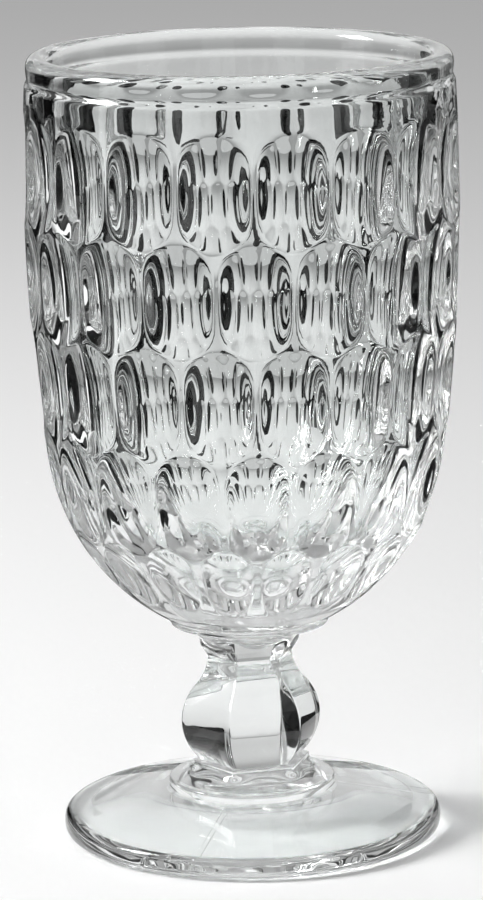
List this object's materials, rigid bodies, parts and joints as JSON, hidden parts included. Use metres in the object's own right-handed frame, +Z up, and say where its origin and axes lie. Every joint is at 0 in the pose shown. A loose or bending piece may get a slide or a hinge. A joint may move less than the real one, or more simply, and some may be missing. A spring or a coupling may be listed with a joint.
{
  "type": "footed goblet",
  "caption": "Clear pressed-glass goblet: a deep bowl patterned with rows of thumbprints, on a six-sided knop stem and a round foot, for cold drinks.",
  "frame": {"origin": "centre of the foot, on the plane that the foot's ring rests on", "axes": "+Z up along the axis of the glass; -Y square to one flat side of the six-sided knop"},
  "size_m": [0.0844, 0.0844, 0.155],
  "materials": {
    "clear_pressed_glass": "colourless glass, pressed in a mould and fire-polished"
  },
  "bodies": {
    "root": {"bowl": "clear_pressed_glass", "bowl_wafer": "clear_pressed_glass", "knop_stem": "clear_pressed_glass", "foot_wafer": "clear_pressed_glass", "foot": "clear_pressed_glass"}
  },
  "joints": []
}
